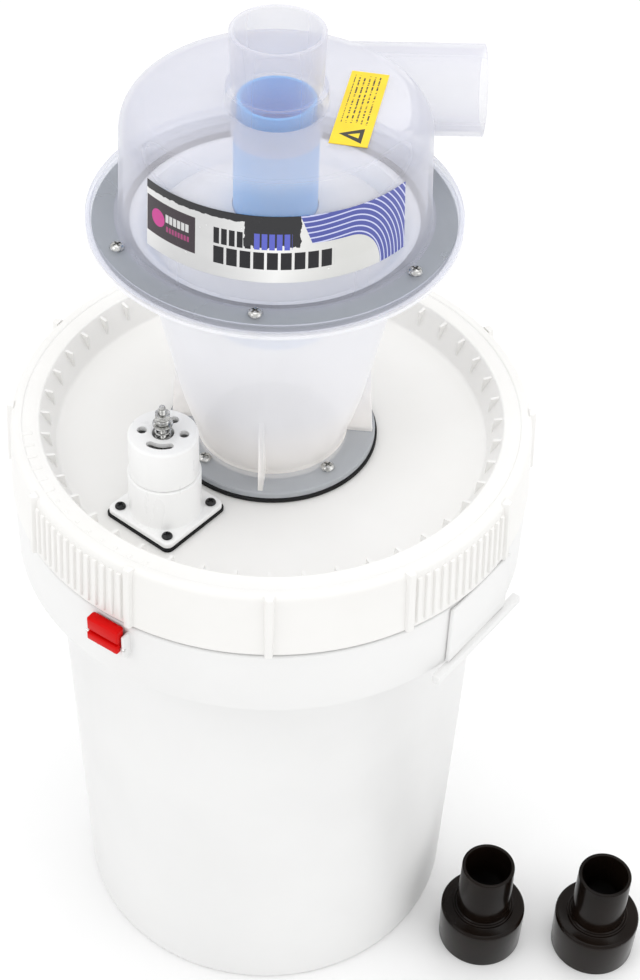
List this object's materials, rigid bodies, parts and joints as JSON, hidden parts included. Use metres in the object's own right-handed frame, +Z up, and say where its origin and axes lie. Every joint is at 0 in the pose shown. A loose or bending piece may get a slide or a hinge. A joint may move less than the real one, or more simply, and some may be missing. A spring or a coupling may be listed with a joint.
{
  "type": "dust collector",
  "caption": "Cyclone dust separator with a translucent dome and cone on the screw lid of a tall white pail, with a relief valve and two hose adapters.",
  "frame": {"origin": "centre of the pail's flat base, on the surface it stands on", "axes": "+Z up along the pail's and cyclone's shared axis, -Y towards the front with the printed label, +X towards the open end of the inlet port"},
  "size_m": [0.4205, 0.3176, 0.6752],
  "materials": {
    "white_plastic": "satin moulded polyethylene",
    "clear_plastic": "milky translucent polypropylene",
    "blue_plastic": "light blue moulded plastic",
    "red_plastic": "bright red moulded plastic",
    "black_rubber": "flat black foam rubber",
    "black_plastic": "polished black ABS",
    "zinc": "bright zinc plate",
    "silver_label": "printed silver film",
    "yellow_label": "printed yellow film"
  },
  "bodies": {
    "pail_body": {"pail": "white_plastic", "latch_pin": "zinc"},
    "latch": {"red_latch": "red_plastic"},
    "lid_carrier": {"lid_seal": "black_rubber"},
    "lid_body": {"lid": "white_plastic", "baffle": "white_plastic", "valve_body": "white_plastic", "valve_cap": "white_plastic", "cyclone_cone": "clear_plastic", "cyclone_dome": "clear_plastic", "vortex_finder": "blue_plastic", "cone_base_seal": "black_rubber", "flange_seal": "black_rubber", "valve_seal": "black_rubber", "valve_spring": "zinc", "front_label": "silver_label", "top_sticker": "yellow_label", "base_screw_1": "zinc", "base_nut_1": "zinc", "valve_screw_1": "black_plastic", "base_screw_2": "zinc", "base_nut_2": "zinc", "valve_screw_2": "black_plastic", "base_screw_3": "zinc", "base_nut_3": "zinc", "valve_screw_3": "black_plastic", "base_screw_4": "zinc", "base_nut_4": "zinc", "valve_screw_4": "black_plastic", "flange_screw_1": "zinc", "flange_nut_1": "zinc", "flange_screw_2": "zinc", "flange_nut_2": "zinc", "flange_screw_3": "zinc", "flange_nut_3": "zinc", "flange_screw_4": "zinc", "flange_nut_4": "zinc", "flange_screw_5": "zinc", "flange_nut_5": "zinc", "flange_screw_6": "zinc", "flange_nut_6": "zinc"},
    "relief_poppet": {"valve_poppet": "zinc", "poppet_seal": "black_rubber", "spring_washer": "zinc", "rod_nut_1": "zinc", "rod_nut_2": "zinc"},
    "adapter_1": {"hose_adapter_1": "black_plastic"},
    "adapter_2": {"hose_adapter_2": "black_plastic"}
  },
  "joints": [
    {"name": "lid_rise", "type": "slide", "parent": "pail_body", "child": "lid_carrier", "axis": [0, 0, 1], "range_m": [0, 0.0121]},
    {"name": "lid_turn", "type": "hinge", "parent": "lid_carrier", "child": "lid_body", "pos_m": [0, 0, 0.39], "axis": [0, 0, 1], "range_deg": [0, 360]},
    {"name": "latch_press", "type": "hinge", "parent": "pail_body", "child": "latch", "pos_m": [-0.09289, -0.13266, 0.357], "axis": [0.8192, -0.5736, 0], "range_deg": [0, 20], "stiffness_Nm_per_rad": 0.05, "springref_deg": -11.46},
    {"name": "relief_open", "type": "slide", "parent": "lid_body", "child": "relief_poppet", "axis": [0, 0, -1], "range_m": [0, 0.006], "stiffness_N_per_m": 300, "springref_m": -0.004, "deforming": ["valve_spring"]},
    {"name": "adapter_1_lift", "type": "slide", "parent": "pail_body", "child": "adapter_1", "axis": [0, 0, 1], "range_m": [0, 0.1]},
    {"name": "adapter_2_lift", "type": "slide", "parent": "pail_body", "child": "adapter_2", "axis": [0, 0, 1], "range_m": [0, 0.1]}
  ],
  "couplings": [
    {"joint": "lid_rise", "follows": "lid_turn", "m_per_rad": 0.0019099}
  ]
}
